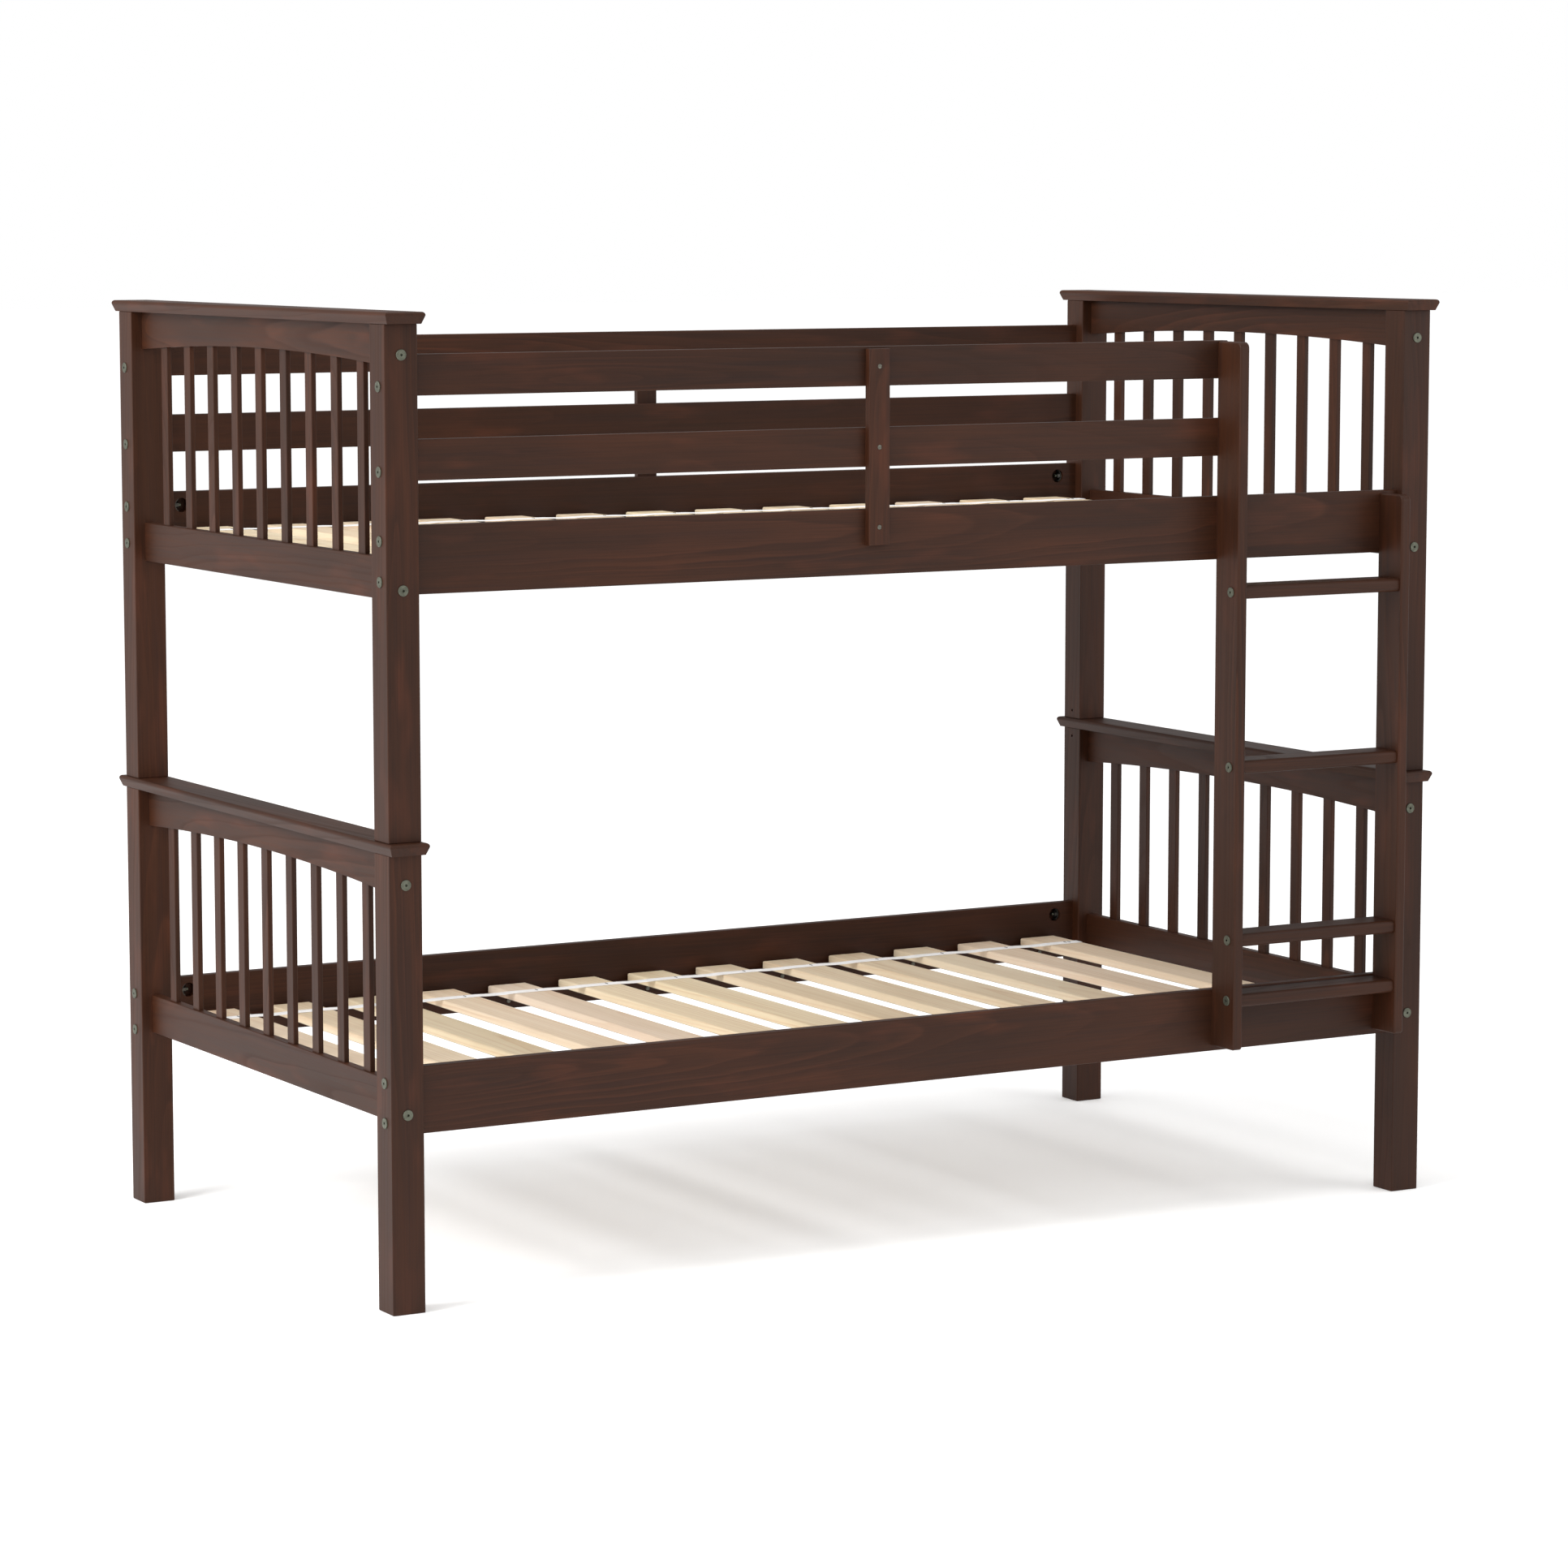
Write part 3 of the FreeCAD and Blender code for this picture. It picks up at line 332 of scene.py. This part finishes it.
def stained_pine(node, seed):
    """Pine under a dark walnut stain and a satin lacquer: red late wood over a brown ground."""
    tree = Tree("stain_" + node)
    board = Board(tree, node, seed)
    spacing = NARROW_RING if any(word in node for word in NARROW_BOARDS) else WIDE_RING
    ring = board.rings(spacing, tilt=0.050, wander=0.034, heart_side=0.09, heart_depth=0.045)
    knot = board.knots(every=0.60, size=0.050)
    fine = board.noise(5.0, 420.0, detail=4.0, roughness=0.6)
    streak = board.noise(2.2, 70.0, detail=3.0)
    cloud = board.noise(2.6, 11.0)
    patch = board.noise(6.0, 26.0)
    where = board.noise(1.3, 7.0)

    late = tree.grey_ramp(ring, STAIN_LATE_STOPS, smooth=True)
    early = tree.grey_ramp(ring, STAIN_EARLY_STOPS, smooth=True)
    shown = tree.remap(where, 0.45, 0.68, 0.10, 1.0)
    early_shown = tree.math("MULTIPLY", early, shown)
    late_shown = tree.math("MULTIPLY", late, shown)
    colour = tree.ramp(cloud, STAIN_GROUND)
    colour = tree.mix(tree.remap(streak, 0.30, 0.50, 0.40, 0.0), colour, STAIN_STREAK)
    colour = tree.mix(tree.math("MULTIPLY", early_shown, 0.24), colour, STAIN_EARLY)
    colour = tree.mix(tree.math("MULTIPLY", late_shown, 0.40), colour, STAIN_LATE)
    colour = tree.mix(tree.remap(patch, 0.56, 0.76, 0.0, 0.45), colour, STAIN_PATCH)
    colour = tree.mix(tree.math("MULTIPLY", knot, 0.75), colour, STAIN_KNOT)
    colour = tree.mix(1.0, colour, tree.grey_ramp(fine, STAIN_TONE_STOPS), "MULTIPLY")
    shade = tree.math("MULTIPLY_ADD", board.chance[1], 0.24, 0.88)
    colour = tree.mix(1.0, colour, tree.join(shade, shade, shade), "MULTIPLY")

    pores = tree.math("MULTIPLY_ADD", early, 0.30, tree.math("MULTIPLY", fine, 0.70))
    return tree.set(
        Base_Color=colour,
        Roughness=tree.remap(pores, 0.2, 0.8, 0.46, 0.58),
        Normal=tree.bump(pores, 0.07, 0.0006),
        Specular_IOR_Level=0.185,
    )


def natural_pine(node, seed):
    """Planed pine with nothing on it, with a little painted shade along a slat's lower edge."""
    tree = Tree("pine_" + node)
    board = Board(tree, node, seed)
    ring = board.rings(PINE_RING, tilt=0.020, wander=0.012, heart_side=0.16, heart_depth=0.060)
    knot = board.knots(every=0.80, size=0.018)
    fine = board.noise(6.0, 480.0, detail=4.0, roughness=0.6)
    streak = board.noise(1.6, 90.0, detail=3.0)
    cloud = board.noise(1.8, 14.0)
    where = board.noise(1.2, 8.0)

    late = tree.grey_ramp(ring, PINE_LATE_STOPS, smooth=True)
    shown = tree.remap(where, 0.38, 0.62, 0.25, 1.0)
    late_shown = tree.math("MULTIPLY", late, shown)
    colour = tree.ramp(cloud, PINE_GROUND)
    colour = tree.mix(tree.remap(streak, 0.52, 0.78, 0.0, 0.55), colour, PINE_STREAK)
    colour = tree.mix(tree.math("MULTIPLY", late_shown, 0.72), colour, PINE_LATE)
    colour = tree.mix(tree.math("MULTIPLY", knot, 0.8), colour, PINE_KNOT)
    colour = tree.mix(1.0, colour, tree.grey_ramp(fine, PINE_TONE_STOPS), "MULTIPLY")
    shade = tree.math("MULTIPLY_ADD", board.chance[0], 0.10, 0.93)
    warm = tree.math("MULTIPLY", shade, tree.math("MULTIPLY_ADD", board.chance[2], 0.10, 0.86))
    rosy = tree.math("MULTIPLY", shade, tree.math("MULTIPLY_ADD", board.chance[1], 0.04, 0.95))
    colour = tree.mix(1.0, colour, tree.join(shade, rosy, warm), "MULTIPLY")
    # Painted shade: a darker line along a slat's lower edge, where its rounded underside falls dark.
    if node.endswith("slats"):
        low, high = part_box(node)
        underside = (low[2] - high[2]) / 2
        edge_shade = tree.remap(board.thin, underside, underside + EDGE_SHADE_HEIGHT, 1.0, 0.0)
        colour = tree.mix(tree.math("MULTIPLY", edge_shade, 0.85), colour, PINE_EDGE_SHADE)
    return tree.set(
        Base_Color=colour,
        Roughness=tree.remap(fine, 0.3, 0.7, 0.58, 0.70),
        Normal=tree.bump(tree.math("MULTIPLY_ADD", late, 0.3, fine), 0.20, 0.0004),
        Specular_IOR_Level=0.35,
    )


# ---- metal and webbing -----------------------------------------------------------------------------
def steel(name, light, dark, rough, seed):
    """Plated steel with faint brushing and dull spots."""
    tree = Tree(name)
    place = tree.vector("ADD", tree.position(), (seed, seed * 0.7, seed * 1.3))
    brushed = tree.noise(tree.vector("MULTIPLY", place, (260.0, 260.0, 1400.0)), 1.0, detail=3.0)
    dull = tree.noise(place, 160.0, detail=4.0)
    colour = tree.mix(tree.remap(dull, 0.35, 0.70, 0.0, 1.0), light, dark)
    colour = tree.mix(1.0, colour, tree.grey_ramp(brushed, [(0.3, 0.86), (0.7, 1.10)]), "MULTIPLY")
    return tree.set(
        Base_Color=colour,
        Roughness=tree.remap(dull, 0.3, 0.7, rough - 0.06, rough + 0.08),
        Normal=tree.bump(brushed, 0.12, 0.0002),
        Metallic=0.85,
    )


def webbing(name):
    """White woven strap: warp threads along X, weft across, a little dust."""
    tree = Tree(name)
    x, y, _ = tree.split(tree.position())
    warp = tree.math("SINE", tree.math("MULTIPLY", y, 2 * math.pi / WARP_PITCH))
    weft = tree.math("SINE", tree.math("MULTIPLY", x, 2 * math.pi / WEFT_PITCH))
    weave = tree.math("MULTIPLY_ADD", tree.math("MULTIPLY", warp, weft), 0.5, 0.5)
    fuzz = tree.noise(tree.position(), 900.0, detail=3.0)
    soil = tree.noise(tree.position(), 14.0, detail=3.0)
    colour = tree.mix(tree.math("MULTIPLY", weave, 0.35), (0.90, 0.885, 0.875), (0.72, 0.70, 0.69))
    colour = tree.mix(tree.remap(soil, 0.5, 0.8, 0.0, 0.20), colour, (0.76, 0.72, 0.66))
    return tree.set(
        Base_Color=colour,
        Roughness=tree.remap(fuzz, 0.3, 0.7, 0.72, 0.88),
        Normal=tree.bump(tree.math("MULTIPLY_ADD", fuzz, 0.4, weave), 0.5, 0.0003),
        Sheen_Weight=0.3,
        Sheen_Roughness=0.5,
    )


def dress(node, material):
    slots = NODES[node].data.materials
    slots.clear()
    slots.append(material)


# The end of a node's name, and its metal: light and dark colour, roughness and seed.
BOLT_LIGHT = (0.128, 0.134, 0.102)
BOLT_DARK = (0.082, 0.085, 0.064)
METALS = {
    "frame_bolts": steel("plated_bolt", BOLT_LIGHT, BOLT_DARK, 0.52, 1.0),
    "rung_bolts": steel("plated_rung_bolt", BOLT_LIGHT, BOLT_DARK, 0.52, 2.0),
    "nuts": steel("plated_nut", (0.100, 0.098, 0.088), (0.045, 0.043, 0.040), 0.42, 3.0),
    "pins": steel("plated_pin", (0.420, 0.420, 0.400), (0.300, 0.300, 0.280), 0.32, 4.0),
    "screws": steel("small_screw", (0.170, 0.165, 0.135), (0.100, 0.095, 0.078), 0.45, 5.0),
    "staples": steel("staple_wire", (0.110, 0.110, 0.105), (0.060, 0.060, 0.058), 0.38, 6.0),
}

# The straps' own solids aren't dressed: the straps made below replace them.
for index, node in enumerate(sorted(NODES)):
    metal = next((m for end, m in METALS.items() if node.endswith(end)), None)
    if metal is not None:
        dress(node, metal)
    elif node.endswith(("slats", "dowels")):
        dress(node, natural_pine(node, SEED_STEP * index))
    elif not node.endswith("straps"):
        dress(node, stained_pine(node, SEED_STEP * index))


# ---- the straps that tie the slats ------------------------------------------------------------------
def pull(x):
    """How far a strap has moved at x: down where it spans a gap, and how much narrower at a staple."""
    from_slat = abs(x - SLAT_PITCH * round(x / SLAT_PITCH)) - SLAT_HALF
    sag = 0.0
    if from_slat > 0.0:
        share = from_slat / (SLAT_PITCH / 2 - SLAT_HALF)
        sag = STRAP_SAG * (1.0 - (1.0 - share) ** 2)
    from_staple = x - STAPLE_OFFSET - SLAT_PITCH * round((x - STAPLE_OFFSET) / SLAT_PITCH)
    pinch = math.exp(-(from_staple / STAPLE_REACH) ** 2)
    return sag, pinch


def strap_section(x, middle, top, bottom):
    """A ring of points across the strap: it thins at the selvedges and has shallow ribs between them."""
    sag, pinch = pull(x)
    half = STRAP_WIDE / 2 * (1.0 - STAPLE_NARROWS * pinch)
    upper = []
    lower = []
    for step in range(STRAP_COLUMNS + 1):
        across = 2 * step / STRAP_COLUMNS - 1
        y = middle + half * across
        edge = max(0.0, abs(across) - (1 - SELVEDGE)) / SELVEDGE
        rib = RIB * math.cos(STRAP_COLUMNS * math.pi * across)
        pressed = STAPLE_PINCH * pinch * (1 - abs(across))
        upper.append((x, y, top - RIB_ROOM + rib - SELVEDGE_TOP * edge ** 3 - sag - pressed))
        lower.append((x, y, bottom - sag + SELVEDGE_UNDER * edge ** 3))
    return upper + lower[::-1]


def strap(name, node, body, side):
    """One strap of a slat deck, from the first slat to the last."""
    low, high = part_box(node)
    middle = high[1] - STRAP_WIDE / 2 if side > 0 else low[1] + STRAP_WIDE / 2
    rows = round((high[0] - low[0]) / STRAP_STEP)
    ring = 2 * (STRAP_COLUMNS + 1)
    points = []
    for row in range(rows + 1):
        x = low[0] + (high[0] - low[0]) * row / rows
        points += strap_section(x, middle, high[2], low[2])
    faces = []
    for row in range(rows):
        start = row * ring
        for k in range(ring):
            after = (k + 1) % ring
            faces.append((start + k, start + after, start + ring + after, start + ring + k))
    faces.append(tuple(range(ring - 1, -1, -1)))
    faces.append(tuple(range(rows * ring, (rows + 1) * ring)))
    mesh = bpy.data.meshes.new(name)
    mesh.from_pydata(points, [], faces)
    mesh.update()
    for face in mesh.polygons:
        face.use_smooth = True
    piece = bpy.data.objects.new(name, mesh)
    bpy.context.scene.collection.objects.link(piece)
    mesh.materials.append(webbing(name + "_weave"))
    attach(piece, body)
    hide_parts(node)


for deck in ("lower", "upper"):
    for side_name, side in (("front", -1), ("back", 1)):
        strap(f"{deck}_strap_{side_name}", deck + "_straps", deck + "_slat_deck", side)


# ---- floor, light and camera -------------------------------------------------------------------------
def floor():
    mesh = bpy.data.meshes.new("studio_floor")
    z = CAD_BOX[0][2] - FLOOR_BELOW
    r = FLOOR_REACH
    mesh.from_pydata([(-r, -r, z), (r, -r, z), (r, r, z), (-r, r, z)], [], [(0, 1, 2, 3)])
    plane = bpy.data.objects.new("studio_floor", mesh)
    bpy.context.scene.collection.objects.link(plane)
    tree = Tree("studio_floor")
    tree.set(Base_Color=(0.96, 0.96, 0.96, 1.0), Roughness=0.9, Specular_IOR_Level=0.1)
    tree.set(Emission_Color=(1.0, 1.0, 1.0, 1.0), Emission_Strength=FLOOR_GLOW)
    mesh.materials.append(tree.material)


def area_light(name, at, to, size, power):
    data = bpy.data.lights.new(name, "AREA")
    data.shape = "RECTANGLE"
    data.size, data.size_y = size
    data.energy = power
    lamp = bpy.data.objects.new(name, data)
    lamp.location = at
    lamp.rotation_euler = (Vector(to) - Vector(at)).to_track_quat("-Z", "Y").to_euler()
    bpy.context.scene.collection.objects.link(lamp)


def world():
    """A white studio, with a darker screen low down behind the object, so that flat tops don't glare."""
    w = bpy.data.worlds.new("studio")
    w.use_nodes = True
    nodes, links = w.node_tree.nodes, w.node_tree.links

    def scale(value, low, high, to_low, to_high):
        node = nodes.new("ShaderNodeMapRange")
        links.new(value, node.inputs[0])
        for socket, number in zip(node.inputs[1:5], (low, high, to_low, to_high)):
            socket.default_value = number
        return node.outputs[0]

    def times(a, b):
        node = nodes.new("ShaderNodeMath")
        node.operation = "MULTIPLY"
        links.new(a, node.inputs[0])
        links.new(b, node.inputs[1])
        return node.outputs[0]

    direction = nodes.new("ShaderNodeTexCoord").outputs["Generated"]
    split = nodes.new("ShaderNodeSeparateXYZ")
    links.new(direction, split.inputs[0])
    behind = nodes.new("ShaderNodeVectorMath")
    behind.operation = "DOT_PRODUCT"
    links.new(direction, behind.inputs[0])
    behind.inputs[1].default_value = (0.5, 0.866, 0.0)
    foot = scale(split.outputs[2], 0.05, 0.14, 0.0, 1.0)
    head = scale(split.outputs[2], 0.60, 0.85, 1.0, 0.0)
    sides = scale(behind.outputs["Value"], 0.10, 0.55, 0.0, 1.0)
    screen = times(times(foot, head), sides)
    background = nodes["Background"]
    background.inputs["Color"].default_value = (1.0, 1.0, 1.0, 1.0)
    links.new(scale(screen, 0.0, 1.0, 1.0, SCREEN_LIGHT), background.inputs["Strength"])
    bpy.context.scene.world = w


def camera():
    data = bpy.data.cameras.new("camera")
    data.lens = CAMERA_LENS
    data.sensor_width = CAMERA_SENSOR
    data.clip_end = CAMERA_CLIP
    eye = bpy.data.objects.new("camera", data)
    eye.location = CAMERA_AT
    eye.rotation_euler = (math.radians(90.0 - CAMERA_DOWN), 0.0, math.radians(-CAMERA_AZIMUTH))
    bpy.context.scene.collection.objects.link(eye)
    bpy.context.scene.camera = eye


floor()
world()
area_light("key_left", (-5.5, -0.7, 3.9), (0.0, 0.0, 1.2), (3.0, 3.0), 355.0)
area_light("fill_right", (3.4, -3.4, 2.2), (0.9, 0.2, 1.0), (2.0, 2.0), 27.0)
area_light("top_soft", (0.0, -0.5, 5.0), (0.0, 0.0, 0.8), (4.0, 3.0), 40.0)
camera()
bpy.context.scene.view_settings.view_transform = "Standard"
